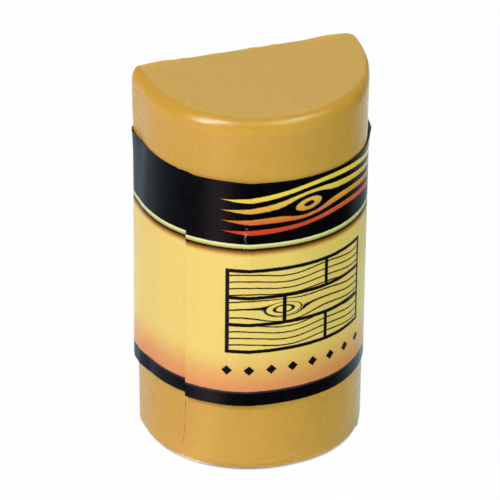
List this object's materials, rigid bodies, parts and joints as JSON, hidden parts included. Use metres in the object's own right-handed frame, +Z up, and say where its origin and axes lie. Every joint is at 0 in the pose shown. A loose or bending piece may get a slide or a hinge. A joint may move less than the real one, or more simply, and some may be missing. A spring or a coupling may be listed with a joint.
{
  "type": "furniture repair wax stick",
  "caption": "Half-round stick of soft furniture repair wax that stands on its end, wrapped in a lapped paper label sleeve that slides along the bar.",
  "frame": {"origin": "where the axis of the half-round face meets the flat base that the stick stands on", "axes": "+Z up along the bar, -Y out of the middle of the curved face, +Y out of the flat back"},
  "size_m": [0.0316, 0.0221, 0.0544],
  "materials": {
    "wax": "satin",
    "label": "satin",
    "adhesive": "satin"
  },
  "bodies": {
    "bar": {"wax_bar": "wax"},
    "sleeve": {"label_wrap": "label", "seam_adhesive": "adhesive"}
  },
  "joints": [
    {"name": "sleeve_slide", "type": "slide", "parent": "bar", "child": "sleeve", "axis": [0, 0, 1], "range_m": [-0.0108, 0.045]}
  ]
}
